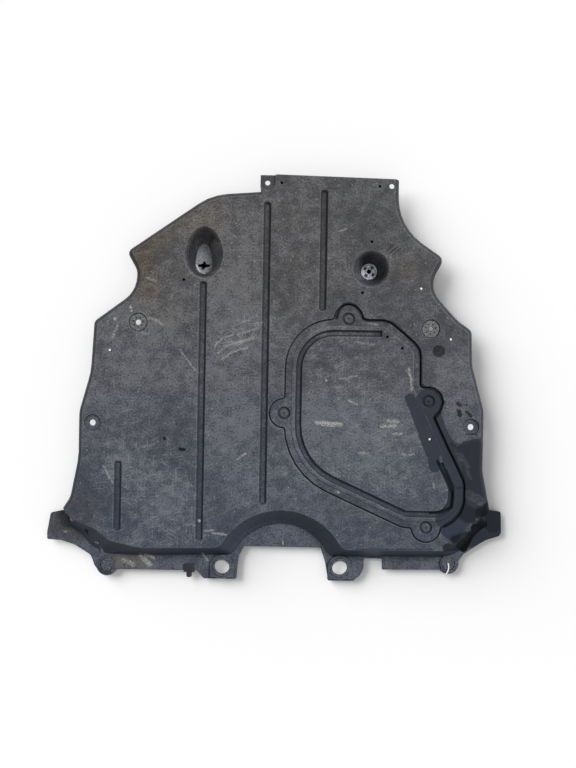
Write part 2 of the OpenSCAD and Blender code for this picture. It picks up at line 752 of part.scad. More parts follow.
// Centre pin, left in one rivet only
module rivet_pin() {
    r = rivets[0];
    color(clip_black)
        translate([r[0], r[1], flange_top + rivet_head_h - 0.2]) {
            cylinder(r = pin_head_r, h = rivet_crown_h);
            translate([0, 0, -rivet_l]) cylinder(r = rivet_bore_r - 0.1, h = rivet_l + 0.5);
        }
}

// Clip pushed over the flange's edge, with a locating peg that points backward
module edge_clip() {
    color(clip_black)
        translate([peg_at[0], peg_at[1], flange_z]) {
            translate([-clip_w / 2, -clip_jaw, -clip_jaw])
                difference() {
                    cube([clip_w, clip_reach + clip_jaw, wall + 2 * clip_jaw]);
                    translate([-1, clip_jaw, clip_jaw]) cube([clip_w + 2, clip_reach + 1, wall]);
                    translate([-1, clip_jaw + clip_reach - clip_short, -1])
                        cube([clip_w + 2, clip_short + 1, clip_jaw + 1]);
                }
            translate([0, -clip_jaw / 2, wall / 2]) rotate([90, 0, 0]) {
                cylinder(r = peg_r, h = peg_l - clip_jaw / 2 - 1);
                translate([0, 0, peg_l - clip_jaw / 2 - 1]) cylinder(r1 = peg_r, r2 = peg_r - 1, h = 1);
            }
        }
}

// Broken end of a cable tie that hangs out of the other rivet
module tie_strip() {
    r = rivets[1];
    top = flange_top + rivet_seat_h;
    color(tie_white)
        translate([r[0], r[1], top]) {
            translate(-strip_r * [0.94, 0.35]) rotate(strip_first)
                rotate_extrude(angle = strip_sweep, $fn = 96)
                    translate([strip_r - strip_w / 2, 0]) square([strip_w, strip_t]);
            translate([0, 0, -3]) cylinder(r = strip_stub_r, h = 3 + strip_t);
        }
}

shield_panel();
access_cover();
cover_screws();
screw_retainers();
seat_washers();
cup_washer();
push_rivets();
rivet_pin();
edge_clip();
tie_strip();
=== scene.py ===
import math
import random

import bmesh
import bpy
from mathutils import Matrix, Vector


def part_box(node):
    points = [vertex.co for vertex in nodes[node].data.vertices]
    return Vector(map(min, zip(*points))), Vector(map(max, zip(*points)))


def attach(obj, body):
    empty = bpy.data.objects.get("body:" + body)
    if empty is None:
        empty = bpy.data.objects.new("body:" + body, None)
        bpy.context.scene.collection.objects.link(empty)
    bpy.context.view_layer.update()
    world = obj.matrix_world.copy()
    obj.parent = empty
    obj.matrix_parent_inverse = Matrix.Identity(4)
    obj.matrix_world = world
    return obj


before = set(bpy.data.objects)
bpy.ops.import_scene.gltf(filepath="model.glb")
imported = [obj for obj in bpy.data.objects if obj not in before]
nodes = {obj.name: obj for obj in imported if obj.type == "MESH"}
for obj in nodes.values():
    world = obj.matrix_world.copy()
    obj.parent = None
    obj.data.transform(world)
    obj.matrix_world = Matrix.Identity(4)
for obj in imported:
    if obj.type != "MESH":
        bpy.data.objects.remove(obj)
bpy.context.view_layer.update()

# %% [markdown]
# # A used engine splash shield
# The imported model brings every solid in at its real size, in metres. This lesson dresses it: a road-worn
# polypropylene panel, its service cover, and the small plastic and steel fasteners.

# %% [markdown]
# ## Helpers
# Colours are written as sRGB hex, as a painter's swatch gives them, while shaders work in linear light, so
# one function converts them. A second one adds a shader node with its settings and links in a single line,
# which keeps the materials below readable.

# %% Colour and shader node helpers
MM = 0.001
MATH, VECTOR, RANGE, MIX = "ShaderNodeMath", "ShaderNodeVectorMath", "ShaderNodeMapRange", "ShaderNodeMix"
NOISE = "ShaderNodeTexNoise"


def linear(hex_colour):
    """An sRGB hex value as a linear RGBA colour, by the standard sRGB curve."""
    channels = [int(hex_colour[i:i + 2], 16) / 255 for i in (1, 3, 5)]
    return [c / 12.92 if c <= 0.04045 else ((c + 0.055) / 1.055) ** 2.4 for c in channels] + [1.0]


def add(tree, kind, inputs=None, out=0, **settings):
    """Adds a node, sets its properties, fills or links its inputs, and returns one output."""
    node = tree.nodes.new(kind)
    for name, value in settings.items():
        setattr(node, name, value)
    for key, value in (inputs or {}).items():
        socket = node.inputs[key]
        if isinstance(value, bpy.types.NodeSocket):
            tree.links.new(value, socket)
        else:
            socket.default_value = value
    return node.outputs[out] if len(node.outputs) else node


def new_material(name):
    """An empty node material, with its tree."""
    material = bpy.data.materials.new(name)
    material.use_nodes = True
    material.node_tree.nodes.clear()
    return material, material.node_tree


print("mid grey #808080 in linear light:", round(linear("#808080")[0], 3))

# %% [markdown]
# ## Camera
# The shield was photographed from straight above. A camera 1.6 m over the road face, turned by one degree,
# gives the same depth in the cups and the same leaning rear wall as the photograph.

# %% Camera
ROAD_Z = 44 * MM
CAMERA_HEIGHT = 1.6
CAMERA_X, CAMERA_Y = 23 * MM, -10 * MM
CAMERA_TURN_DEG = 1
# The photograph is 768 pixels high, and one pixel covers 2 mm at the road face
PHOTO_ROWS = 768
PIXEL = 2 * MM
SENSOR_MM = 36

camera_data = bpy.data.cameras.new("camera")
camera_data.sensor_fit = "VERTICAL"
camera_data.sensor_height = SENSOR_MM
camera_data.lens = SENSOR_MM * CAMERA_HEIGHT / (PHOTO_ROWS * PIXEL)
camera = bpy.data.objects.new("camera", camera_data)
camera.location = (CAMERA_X, CAMERA_Y, ROAD_Z + CAMERA_HEIGHT)
camera.rotation_euler = (0, 0, math.radians(CAMERA_TURN_DEG))
bpy.context.scene.collection.objects.link(camera)
bpy.context.scene.camera = camera
print("lens in mm:", round(camera_data.lens, 2))

# %% [markdown]
# ## Strokes of wear
# Scrapes, stains and clean patches sit in known places. Each is a soft capsule between two points, given in
# millimetres as (x0, y0, x1, y1, radius, softness, strength). A node group measures the distance to one
# capsule and keeps the stronger of its own mask and the one passed in, so a list becomes a chain of groups.
# Image textures could do this too, but a list of strokes stays sharp at any size and is easy to change.

# %% Stroke group
def stroke_group():
    """One stroke, kept where it is stronger than the mask so far.
    That mask rides as the height of the place, so that each stroke waits for the one before it. Strokes
    worked out side by side would each hold memory, and a long list would not fit in one shader."""
    group = bpy.data.node_groups.new("stroke", "ShaderNodeTree")
    for name in ("X", "Y", "Start", "End", "Reach", "Soft", "Strength", "Mask"):
        kind = "NodeSocketVector" if name in ("Start", "End") else "NodeSocketFloat"
        group.interface.new_socket(name, in_out="INPUT", socket_type=kind)
    group.interface.new_socket("Mask", in_out="OUTPUT", socket_type="NodeSocketFloat")
    given = group.nodes.new("NodeGroupInput").outputs
    place = add(group, "ShaderNodeCombineXYZ", {"X": given["X"], "Y": given["Y"], "Z": given["Mask"]})
    flat = add(group, VECTOR, {0: place, 1: (1, 1, 0)}, operation="MULTIPLY")
    from_start = add(group, VECTOR, {0: flat, 1: given["Start"]}, operation="SUBTRACT")
    along = add(group, VECTOR, {0: given["End"], 1: given["Start"]}, operation="SUBTRACT")
    dot = add(group, VECTOR, {0: from_start, 1: along}, out="Value", operation="DOT_PRODUCT")
    square = add(group, VECTOR, {0: along, 1: along}, out="Value", operation="DOT_PRODUCT")
    share = add(group, MATH, {0: dot, 1: square}, operation="DIVIDE", use_clamp=True)
    nearest = add(group, VECTOR, {0: along, "Scale": share}, operation="SCALE")
    off = add(group, VECTOR, {0: from_start, 1: nearest}, out="Value", operation="DISTANCE")
    inside = add(group, MATH, {0: given["Reach"], 1: off}, operation="SUBTRACT")
    faded = add(group, MATH, {0: inside, 1: given["Soft"]}, operation="DIVIDE", use_clamp=True)
    own = add(group, MATH, {0: faded, 1: given["Strength"]}, operation="MULTIPLY")
    best = add(group, MATH, {0: own, 1: given["Mask"]}, operation="MAXIMUM")
    group.links.new(best, group.nodes.new("NodeGroupOutput").inputs["Mask"])
    return group


STROKE = stroke_group()
# Even a round stroke gets this much length, so that no stroke divides by a length of zero
LEAST_LENGTH = 0.001 * MM


def strokes(tree, place, marks):
    """One mask from a list of strokes, for a place given as its x and y outputs."""
    mask = 0.0
    for x0, y0, x1, y1, radius, soft, strength in marks:
        mask = add(tree, "ShaderNodeGroup", node_tree=STROKE, inputs={
            "X": place["X"], "Y": place["Y"], "Start": (x0 * MM, y0 * MM, 0),
            "End": (x1 * MM, y1 * MM + LEAST_LENGTH, 0), "Reach": (radius + soft) * MM,
            "Soft": soft * MM, "Strength": strength, "Mask": mask})
    return mask


def split(tree, vector):
    """The x, y and z outputs of a vector."""
    node = tree.nodes.new("ShaderNodeSeparateXYZ")
    tree.links.new(vector, node.inputs[0])
    return node.outputs


print("stroke group has", len(STROKE.nodes), "nodes")

# %% [markdown]
# ## Where the wear is
# These lists follow the used part: pale scrapes from stones and kerbs, dark stains and some painted shade,
# the washed corner with its late dust, the brown tint that old mud has left, and the zones where dry dust
# lies thickest. They are written as plain numbers, one stroke after another, because wear has no rule that a
# loop could follow.

# %% Pale and dark marks, in millimetres
PALE_SCRAPES = [
    (-294.7, 140.5, -292.5, 130.5, 1, 2.4, 0.8), (-325.2, 114.3, -324.8, 114.3, 1.8, 2, 0.95),
    (-329.6, 76.9, -320, 100, 1, 3, 0.45), (-259.3, 117.1, -247.2, 115.3, 1, 3.2, 0.45),
    (-247.2, 115.3, -229, 104.8, 1, 3.2, 0.45), (-270.8, 87.9, -256.7, 85.1, 0.8, 2.4, 0.3),
    (-194.2, 54.2, -163.5, 14.7, 0.6, 2, 0.45), (-262.7, 198, -244.6, 191.4, 0.8, 2, 0.4),
    (-124.3, 63.4, -110.6, 78.7, 0.8, 2, 0.5), (-110.6, 78.7, -88.7, 87.1, 0.8, 2, 0.5),
    (-118.1, 49.5, -100.3, 64.9, 0.8, 2, 0.5), (-100.3, 64.9, -74.5, 73.3, 0.8, 2, 0.55),
    (-74.5, 73.3, -48.6, 80.8, 1, 2.8, 0.5), (-109.9, 37.7, -90.1, 52, 0.8, 2, 0.45),
    (-90.1, 52, -60.3, 61.6, 0.8, 2.4, 0.5), (-78.7, 86.2, -54.9, 95.7, 0.8, 2, 0.4),
    (-54.9, 95.7, -38.9, 100.9, 0.8, 2, 0.45), (-74.4, -161.7, -58.6, -150.4, 1, 2, 0.55),
    (-151, -287.1, -149.4, -288.3, 1.6, 1.8, 0.95), (-137.8, -306.9, -119.9, -304.5, 0.8, 2, 0.6),
    (-123.8, -310.6, -95.7, -313.1, 1, 2, 0.6), (-306.7, -373.8, -286.5, -383.5, 2, 4, 0.55),
    (-270.8, -365.2, -252.5, -382.9, 2.4, 4.4, 0.7), (-260.9, -363, -244.8, -368.7, 1.4, 3, 0.6),
    (-294.6, -377.6, -292.6, -377.6, 1.8, 2, 0.9), (-145, -357, -134.7, -372.8, 1, 2, 0.55),
    (-342.7, -180.4, -335.8, -194.3, 0.8, 2, 0.5), (-335.8, -194.3, -324.5, -213.1, 0.8, 2, 0.45),
    (81.3, -86.2, 130.4, -88.5, 1.6, 3.6, 0.95), (92.4, -91.6, 116.4, -92, 0.6, 1.6, 0.8),
    (212.5, -91.5, 238.4, -89.7, 1.6, 3.2, 0.75), (224.3, -80.1, 244.3, -82.1, 1.4, 2.8, 0.6),
    (235.9, -105.5, 252.7, -105.8, 1, 2, 0.7), (125.8, 1.8, 159.7, 8, 0.6, 2, 0.45),
    (264.4, 24.2, 268.9, 0.3, 1, 2.4, 0.75), (268.9, 0.3, 270.2, -16.7, 1, 2, 0.75),
    (145.6, -40.9, 161.7, -48.6, 0.8, 2, 0.55), (168.4, -145.1, 185.4, -145.2, 1, 2, 0.45),
    (253.4, -147.4, 277.4, -147, 0.8, 2, 0.4), (126.6, -225.2, 127.4, -225.8, 1.4, 1.6, 0.95),
    (98.8, -0.7, 99.5, -1.1, 1.2, 1.6, 0.8), (317.2, -204.9, 318.2, -212.9, 0.8, 2, 0.5),
    (121.6, 297.8, 135.6, 302.8, 0.8, 2, 0.45), (174.9, 113.5, 198.9, 112.3, 0.8, 2.8, 0.35),
    (157.5, 76.4, 193.6, 71.8, 0.8, 2.8, 0.35), (406, -273.5, 421, -270.5, 1.4, 3.6, 0.5),
    (419.6, -270.1, 426.7, -285, 1, 2.4, 0.8), (-408.6, -288.6, -407, -290.7, 1.4, 2.8, 0.8),
    (-424.9, -317.9, -423.7, -317.8, 1.2, 2, 0.7), (-360.1, -337.5, -357.3, -338.7, 1.2, 1.8, 0.8),
    (-351.1, -351.6, -349, -358.5, 1, 1.8, 0.7), (17.2, -329.2, 18.7, -336.1, 0.8, 1.6, 0.7),
    (-45, 106.8, -31.2, 113.1, 0.8, 2.4, 0.3),
]
# Bare plastic lifted beside the torn slot, nearly white
TORN_EDGE = [(-168.9, 230.8, -162.6, 218.6, 0.6, 1.2, 0.8), (-162.6, 218.6, -151.2, 213.7, 0.4, 1.2, 0.5)]
DARK_MARKS = [
    (323, 61.2, 324.6, 61.3, 10.8, 2.4, 0.75), (-222.7, -122.7, -221.8, -124.3, 2.2, 1.6, 0.85),
    (-190.7, -143.7, -182.7, -144.8, 2.4, 1.8, 0.9), (363.6, -43.1, 367.7, -46, 3, 2.4, 0.75),
    (380.7, -45.8, 381.5, -45.7, 1.4, 1.4, 0.8), (365.9, -59, 368, -66, 3.2, 2.4, 0.8),
    (380.9, -59.8, 390.1, -67.6, 2, 2, 0.8), (214.4, 257.4, 228.1, 271.6, 0.4, 1.4, 0.7),
    (220.4, 253.5, 238.2, 269, 0.4, 1.4, 0.7), (227.5, 251.6, 244.2, 265.9, 0.4, 1.4, 0.6),
    (-263.6, 193, -246.5, 186.3, 0.4, 1.6, 0.5), (-155.5, 224.9, -155.5, 224.9, 3, 2, 0.8),
]
print("pale scrapes:", len(PALE_SCRAPES), "and strokes of bare plastic:", len(TORN_EDGE))

# %% Washed places and dusty places, in millimetres
# Water has washed the dust off one corner, and a little of it in a few other places
WET_CLEAN = [
    (267.5, -34.7, 279.9, -59.5, 10, 1.6, 1), (281.9, -61.5, 298.6, -99.2, 13, 1.6, 1),
    (300.7, -105.2, 315.3, -140.9, 15, 1.6, 1), (303.6, -41.1, 304.8, -41.1, 25, 1.6, 1),
    (315.3, -140.9, 319, -170, 11, 1.6, 1),
    (311.9, -57, 351.7, -160.3, 14, 1.6, 1), (353.7, -160.3, 365.6, -212.1, 13, 1.6, 1),
    (365.6, -212.1, 361.2, -246.1, 14, 2, 1), (361.2, -246.1, 337.7, -276.5, 14, 3, 1),
    (342.8, -112.4, 359.3, -140.2, 7, 1.6, 1), (359.4, -142.1, 375.2, -133.9, 9, 2.4, 1),
    (385.1, -127.7, 417, -123.1, 11, 2, 1), (397.4, -145.5, 409, -235.3, 22, 2, 1),
    (371.8, -167.9, 386.9, -227.7, 10, 2, 1), (383.3, -251.7, 356, -292.2, 22, 5, 1),
    (356, -296.2, 356, -306, 12, 6, 0.9), (415.4, -259.2, 448, -294.6, 28, 6, 1),
    (-395, -200, -372, -262, 14, 34, 0.3), (145, 325, 180, 300, 20, 50, 0.24),
    (-115, -290, -62, -286, 10, 34, 0.2), (-440, -290, -400, -290, 30, 20, 0.25),
    (399, -321, 450, -306, 14, 4, 1),
]
# A thinner dusting that has fallen on the washed corner since
LATE_DUST = [
    (388, -224, 411, -237, 7, 4, 0.85), (372, -146, 384, -168, 3, 4, 0.6), (352, -134, 372, -150, 3, 4, 0.45),
    (383.9, -175.7, 390.2, -191.6, 2, 3, 0.45), (377.2, -307.5, 398.6, -293.9, 3.2, 3.6, 0.85),
]
# Where the dust is browner: the left side, the left wing and the flange, and faintly a few other places
BROWN_TINT = [
    (-277.2, 228.8, -258, 273.1, 14, 40, 0.95), (-264.8, 203, -260.2, 169.1, 6, 36, 0.68),
    (-228.3, 289.7, -148.9, 325.1, 12, 52, 0.45), (238.9, 225.8, 267, 222.3, 12, 32, 0.3),
    (21.1, 328, 44.1, 158.4, 12, 120, 0.12), (-447, -290, -395, -285, 26, 40, 0.45),
    (-318, -372, -262, -372, 10, 24, 0.45), (-225, 200, -215, 140, 20, 50, 0.2),
]
# Where dry dust lies thickest
DUSTY_ZONES = [
    (-99.9, 155.9, -81, -123.8, 28, 80, 1), (-290, -187.5, -218.9, -246.3, 16, 48, 1),
    (-353.1, -8.6, -253.8, 33.2, 16, 72, 0.8), (108.6, -100.5, 218.9, -118.6, 44, 80, 0.9),
    (356.5, 23.8, 371.3, -25.9, 12, 52, 1), (-70.3, -163.7, -58.9, -223.5, 20, 50, 0.85),
    (30, 300, 45, 290, 10, 50, 0.3), (300, -372, 350, -370, 10, 20, 0.3),
    (-235, 190, -215, 145, 14, 40, 0.45),
    (-158.9, 324.9, -68.4, 296.5, 16, 72, 0.75), (-314.8, 92.1, -234.8, 93.5, 20, 60, 0.75),
    (-318, -372, -258, -374, 10, 20, 0.9), (80, 96, 180, 92, 6, 10, 1), (-153, 70, -153, -30, 4, 8, 0.8),
]
# Two side dishes that hold as much dust as the face round them, and the groove's upper run, which holds some
DUSTY_DISHES = [
    (-367, -94, -367, -94, 15, 3, 0.85), (390.5, -90, 390.5, -90, 15, 3, 0.95), (80, 94, 186, 91, 6, 6, 0.5),
]
# Zones where fine scratches crowd together
SCRATCHED = [
    (-98.6, 79.9, -31.1, 109.1, 20, 14, 1), (-270, -187.1, -188.4, -275.7, 50, 40, 0.5),
    (105.8, 59.5, 250, -178.1, 30, 40, 0.45), (50, -181.6, 251, -238.1, 16, 24, 0.4),
]
# Dust on the walls of the two deep cups, and the areas in which it counts
CUP_AREAS = [(-150, 234, -150, 267, 36, 4, 1), (185, 223, 185, 223.5, 35, 4, 1)]
CUP_DUST = [
    (-129, 220, -127, 262, 8, 12, 1), (-154, 262, -154, 272, 8, 10, 0.8), (-172, 226, -170, 262, 6, 10, 0.1),
    (199, 240, 205, 233, 10, 12, 0.28), (162, 214, 162, 232, 8, 10, 0.35), (-150, 284, -148, 292, 8, 10, 0.3),
]
print("washed strokes:", len(WET_CLEAN), "and dusty zones:", len(DUSTY_ZONES))

# %% Damp, grime and painted shade, in millimetres
# The corner that stayed damp, nearly black, and the washed plastic beside it, a little darker than clean
DAMP = [
    (444, -264, 446, -290, 16, 4, 0.64), (429.2, -248.9, 414, -291.2, 9, 5, 0.9),
    (414, -291.2, 376.6, -327.9, 10, 6, 0.95), (362.4, -316.1, 392.2, -305.6, 7, 6, 0.8),
    (346.7, -332.4, 376.7, -333.9, 7, 4, 0.8), (359, -136, 400, -145, 14, 6, 0.45),
    (400, -145, 407, -215, 26, 6, 0.45), (380, -215, 361, -246, 14, 5, 0.5),
    (361, -246, 391, -266, 14, 6, 0.62), (396, -312, 386, -336, 9, 4, 1),
    (421, -278, 414, -262, 12, 6, 0.8), (399, -323, 450, -306, 12, 5, 0.42),
    (402, -292, 426, -288, 8, 3, 0.95),
]
# Painted shadow along the upper right of the cover's gap, where the panel's edge shades the cover, drawn as a
# line through these points
GAP_LINE = [
    (118.1, 123.7), (123.4, 140.8), (132.2, 150.7), (142.2, 152.9), (154.2, 149.1), (165.5, 136.5),
    (171.7, 123.4), (182.8, 119.8), (210.8, 120.3), (230.8, 115), (253.2, 96), (274.5, 76.4), (285.2, 62.6),
    (287.6, 48.6), (288.6, -5.4), (297.1, -12.2), (313.7, -14.5), (328.3, -25.7), (333.6, -40.6),
    (327.9, -60.7), (317.2, -74.1), (347.3, -136.4), (376.8, -191.9), (379.6, -211.8), (379, -241.8),
    (371.5, -262), (357, -279), (341, -289),
]
# Painted shade the same way along the inner side of the cover's groove, in the washed corner
GROOVE_LINE = [(324.6, -159.3), (345.3, -197), (355.8, -223), (354.3, -251), (334.5, -261.5), (312.4, -263.8)]
# Radius, softness and strength of each stroke along the two lines
LINE_SHADE = (2, 2.4, 0.85)
GAP_SHADE = [a + b + LINE_SHADE for line in (GAP_LINE, GROOVE_LINE) for a, b in zip(line, line[1:])]
# Painted shade along the rear crease, on the shadowed side of the right seat, and as the line of a step by a
# side hole and of one on the cover's rim
DARK_MARKS += [
    (165, -338.4, 318, -336.2, 0.4, 2.4, 0.5),
    (320, 93.7, 324.1, 104.4, 1.2, 1.6, 0.8), (324.1, 104.4, 320.7, 115.3, 1.2, 1.6, 0.8),
    (320.7, 115.3, 311.4, 121.9, 1.2, 1.6, 0.8), (311.4, 121.9, 299.9, 121.3, 1.2, 1.6, 0.8),
    (379.7, -104.4, 402.7, -104, 0.5, 1.6, 0.65), (364.6, -212.1, 376.6, -211.9, 0.5, 1.4, 0.7),
]
# Painted shade in the small pin holes of the panel and cover, as black dots
PIN_MARKS = [(3.6, 392), (200, 388.5), (-189, 195), (186, 277.5), (168.6, 175), (220, 87.5), (250.5, 65.5)]
PIN_RADIUS, PIN_SOFT = 2.6, 0.8
DARK_MARKS += [(x, y, x, y, PIN_RADIUS, PIN_SOFT, 1) for x, y in PIN_MARKS]
# The strokes beside the gap and groove are painted shadow and shade
print("dark marks:", len(DARK_MARKS), "and strokes of grime beside the gap and groove:", len(GAP_SHADE))

# %% [markdown]
# The panel and the cover are two meshes with a material each, and both read the same lists. A shader with
# fewer strokes renders faster, so each gets only the marks that can reach it, with some overlap.

# %% Marks that reach the panel, and marks that reach the cover
PANEL, COVER = 0, 1
# A mark that starts in the first box is on the cover alone. One outside the second is on the panel alone.
COVER_ONLY = (25, -270, 245, 105)
COVER_REACH = (-20, -330, 385, 155)


def within(mark, x0, y0, x1, y1):
    """Whether a mark starts inside a box."""
    return x0 < mark[0] < x1 and y0 < mark[1] < y1


def split_marks(marks):
    """The marks for the panel and the marks for the cover."""
    panel = [m for m in marks if not within(m, *COVER_ONLY)]
    cover = [m for m in marks if within(m, *COVER_REACH)]
    return panel, cover


print("pale scrapes for panel and cover:", [len(part) for part in split_marks(PALE_SCRAPES)])

# %% [markdown]
# ## Moulded polypropylene, road-worn
# The real panel is black talc-filled polypropylene, injection moulded: a slightly bluish dark grey with a
# soft sheen. Years under a car leave a film of dry dust on whatever faces the road, while beads, grooves
# and steep walls keep the darker plastic. Stones and kerbs scratch the high faces paler, and worn edges
# show as thin light lines.
# Front here is the narrow edge. The clean plastic and its dust are neutral there and bluish at the rear.

# %% Colours of the worn plastic, and one laid over another
# The grime colour is also the colour of painted shade
WORN_COLOURS = {"clean front": "#303135", "clean rear": "#2e3442", "dust front": "#69696b",
                "dust rear": "#60656f", "dust brown": "#685c4a", "silt_and_light": "#94969b", "scrape": "#a8a7a1",
                "rubbed": "#919398", "bare": "#e6e6e4", "grime_and_shade": "#101214"}


def lay(tree, factor, below, above):
    """One colour laid over another; each is a name in WORN_COLOURS, a linear colour or an output."""
    below, above = [linear(WORN_COLOURS[c]) if isinstance(c, str) else c for c in (below, above)]
    return add(tree, MIX, {"Factor": factor, "A": below, "B": above}, out="Result", data_type="RGBA")


print("colours of the worn plastic:", len(WORN_COLOURS))

# %% [markdown]
# Every layer reads the same inputs: the place on the part, the way the face looks, and noise of three sizes.
# Strokes are measured from a place that noise pushes about by a few millimetres, which gives them the ragged
# edges of real stains.

# %% Place, facing and noise
# Clouds and blotches of dust are as large as on the real panel, in millimetres. Its grit is finer than 2 mm
# and is drawn at 3.4 mm, because one pixel covers 2 mm.
NOISE_MM = {"clouds": 75, "blotches": 20, "grit": 3.4}
WANDER_SIZE, WANDER_REACH = 9 * MM, 5 * MM


def surface_inputs(tree):
    """The place, its x, y and z, the facing, the noises, and the ragged place for strokes."""
    place = add(tree, "ShaderNodeTexCoord", out="Object")
    spot = split(tree, place)
    facing = split(tree, add(tree, "ShaderNodeTexCoord", out="Normal"))
    noise = {size: add(tree, NOISE, {"Vector": place, "Scale": 1 / (mm * MM), "Detail": 2.0,
                                     "Roughness": 0.5}) for size, mm in NOISE_MM.items()}
    wander = add(tree, NOISE, {"Vector": place, "Scale": 1 / WANDER_SIZE, "Detail": 3.0}, out="Color")
    wander = add(tree, VECTOR, {0: wander, 1: (0.5, 0.5, 0.5)}, operation="SUBTRACT")
    pushed = add(tree, VECTOR, {0: wander, 1: (WANDER_REACH, WANDER_REACH, 0), 2: place},
                 operation="MULTIPLY_ADD")
    return place, spot, facing, noise, split(tree, pushed)


print("noise sizes in millimetres:", NOISE_MM)

# %% [markdown]
# Dust lies on whatever faces the road, so its film follows the height and the tilt of the face, thickens in
# the dusty zones and is broken up by the three noises. It could be painted by hand on the mesh, but a mask
# from height and tilt fits itself to every bead, dish and groove.

# %% Dust film
# Heights over the floor. Dust thins out from the road face down into the recesses, the walls below are
# dark, and the lowest parts are dusty again. In the cups it fades over a longer way.
FACE_Z, RECESS_Z = 43.6 * MM, 40 * MM
WALL_Z, LOW_Z = 26 * MM, 20 * MM
CUP_WALL_Z = 28 * MM
# How far each noise thins and thickens the film
FILM_SPANS = (("clouds", 0.76, 1.22), ("blotches", 0.68, 1.32), ("grit", 0.35, 1.65))


def dust_film(tree, ragged, height, up, noise, has_cups):
    """How thick the dust is, from 0 to 1, and which faces lie at the level of the road face."""
    level = add(tree, RANGE, {"Value": up, "From Min": 0.6, "From Max": 0.97})
    high = add(tree, RANGE, {"Value": height, "From Min": RECESS_Z, "From Max": FACE_Z})
    low = add(tree, RANGE, {"Value": height, "From Min": WALL_Z, "From Max": LOW_Z, "To Max": 1.3})
    hollows = add(tree, RANGE, {"Value": strokes(tree, ragged, DUSTY_DISHES), "To Min": 0.48})
    reached = add(tree, MATH, {0: high, 1: low}, operation="MAXIMUM")
    reached = add(tree, MATH, {0: reached, 1: hollows}, operation="MAXIMUM")
    zones = add(tree, RANGE, {"Value": strokes(tree, ragged, DUSTY_ZONES), "To Min": 0.46, "To Max": 0.88})
    film = add(tree, MATH, {0: level, 1: reached}, operation="MULTIPLY")
    film = add(tree, MATH, {0: film, 1: zones}, operation="MULTIPLY")
    if has_cups:
        # The cups fade from the dusty face into darker walls, which keep patches of dust
        lip = add(tree, RANGE, {"Value": height, "From Min": CUP_WALL_Z, "From Max": FACE_Z, "To Max": 0.55})
        wall = add(tree, MATH, {0: lip, 1: strokes(tree, ragged, CUP_DUST)}, operation="MAXIMUM")
        wall = add(tree, MATH, {0: wall, 1: strokes(tree, ragged, CUP_AREAS)}, operation="MULTIPLY")
        film = add(tree, MATH, {0: film, 1: wall}, operation="MAXIMUM")
    for size, thin, thick in FILM_SPANS:
        # Most of a noise lies between 0.36 and 0.64
        broken = add(tree, RANGE, {"Value": noise[size], "From Min": 0.36, "From Max": 0.64, "To Min": thin,
                                   "To Max": thick})
        film = add(tree, MATH, {0: film, 1: broken}, operation="MULTIPLY")
    return film, high


print("dust on the face thins out over", round((FACE_Z - RECESS_Z) / MM, 1), "mm of depth")

# %% [markdown]
# Water has washed one corner nearly clean, and a thinner dusting has fallen there since. Silt has settled in
# the bottoms of the two cups, with dark gaps in it, and its colour is painted paler than the silt, as painted
# light on these floors. Each colour is laid over the one before, as on the part.

# %% Washing, dust and silt
# From the rear's bluish colours to the front's neutral ones, along the part
REAR_Y, FRONT_Y = -300 * MM, 200 * MM
SILT_TOP_Z, SILT_FULL_Z = 4.5 * MM, 3.5 * MM


def left_by_water(tree, ragged, part):
    """The share of dust and wear that the water has left, from 1 down to 0.04."""
    washed = strokes(tree, ragged, split_marks(WET_CLEAN)[part])
    late = strokes(tree, ragged, LATE_DUST)
    bare = add(tree, MATH, {0: washed, 1: late}, operation="SUBTRACT", use_clamp=True)
    return add(tree, RANGE, {"Value": bare, "To Min": 1.0, "To Max": 0.04})


def dusty_colour(tree, spot, facing, ragged, noise, film):
    """The colour of plastic under dust, brown tint and silt, whose colour is partly painted light."""
    warm = add(tree, RANGE, {"Value": spot["Y"], "From Min": REAR_Y, "From Max": FRONT_Y})
    brown = strokes(tree, ragged, BROWN_TINT)
    dust = lay(tree, brown, lay(tree, warm, "dust rear", "dust front"), "dust brown")
    colour = lay(tree, film, lay(tree, warm, "clean rear", "clean front"), dust)
    # Silt on up-facing cup floors, in a colour painted pale enough to stand in for light
    silt_and_light = add(tree, RANGE, {"Value": spot["Z"], "From Min": SILT_TOP_Z, "From Max": SILT_FULL_Z})
    silt_and_light = add(tree, MATH, {0: silt_and_light, 1: facing["Z"]}, operation="MULTIPLY", use_clamp=True)
    covered = add(tree, RANGE, {"Value": noise["grit"], "From Min": 0.36, "From Max": 0.5, "To Min": 0.4})
    return lay(tree, silt_and_light, colour, lay(tree, covered, "clean front", "silt_and_light"))


print("washed strokes on panel and cover:", [len(part) for part in split_marks(WET_CLEAN)])

# %% [markdown]
# Fine scratches come from noise stretched into long thin streaks. A Mapping node of type Texture turns the
# place first and scales it afterwards, so each layer of streaks runs its own way. Four layers, bunched by
# larger noise, read as the haze of scratches that a road leaves.

# %% Scratch haze
# Real scratches are hair-thin. They are drawn 2.2 mm wide and 34 mm long, because one pixel covers 2 mm.
STREAK_SIZE = (34 * MM, 2.2 * MM, 100 * MM)
# Each layer's turn in degrees, and a shift that gives it a noise of its own
STREAK_LAYERS = ((8, 0.31), (27, 0.77), (92, 0.53), (148, 0.99))


